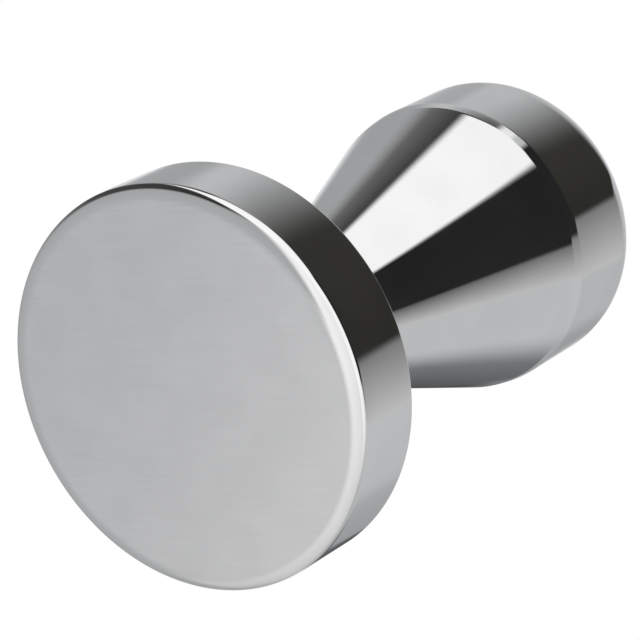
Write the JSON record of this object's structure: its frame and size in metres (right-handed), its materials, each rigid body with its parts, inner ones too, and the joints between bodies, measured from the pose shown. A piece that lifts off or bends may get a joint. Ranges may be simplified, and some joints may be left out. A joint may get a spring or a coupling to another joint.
{
  "type": "espresso tamper",
  "caption": "Stainless steel espresso tamper: flat round base and a conical handle with a short cylindrical head, screwed together.",
  "frame": {"origin": "centre of the tamping face, which the tamper stands on", "axes": "+Z along the axis of symmetry, from the tamping face up to the top of the handle; X and Y are arbitrary"},
  "size_m": [0.058, 0.058, 0.0885],
  "materials": {
    "base_steel": "stainless steel, straight-brushed on the tamping face and polished on the rim",
    "polished_steel": null,
    "stud_steel": "plain rolled thread, dull",
    "nylon": "natural nylon, off-white"
  },
  "bodies": {
    "base": {"tamping_base": "base_steel"},
    "washer": {"nylon_washer": "nylon"},
    "handle": {"handle_body": "polished_steel", "threaded_stud": "stud_steel", "palm_plug": "polished_steel"}
  },
  "joints": [
    {"name": "handle_lift", "type": "slide", "parent": "base", "child": "washer", "axis": [0, 0, 1], "range_m": [0, 0.0075]},
    {"name": "handle_turn", "type": "hinge", "parent": "washer", "child": "handle", "pos_m": [0, 0, 0.0128], "axis": [0, 0, 1], "range_deg": [0, 2160]}
  ],
  "couplings": [
    {"joint": "handle_lift", "follows": "handle_turn", "m_per_rad": 0.00019894}
  ]
}
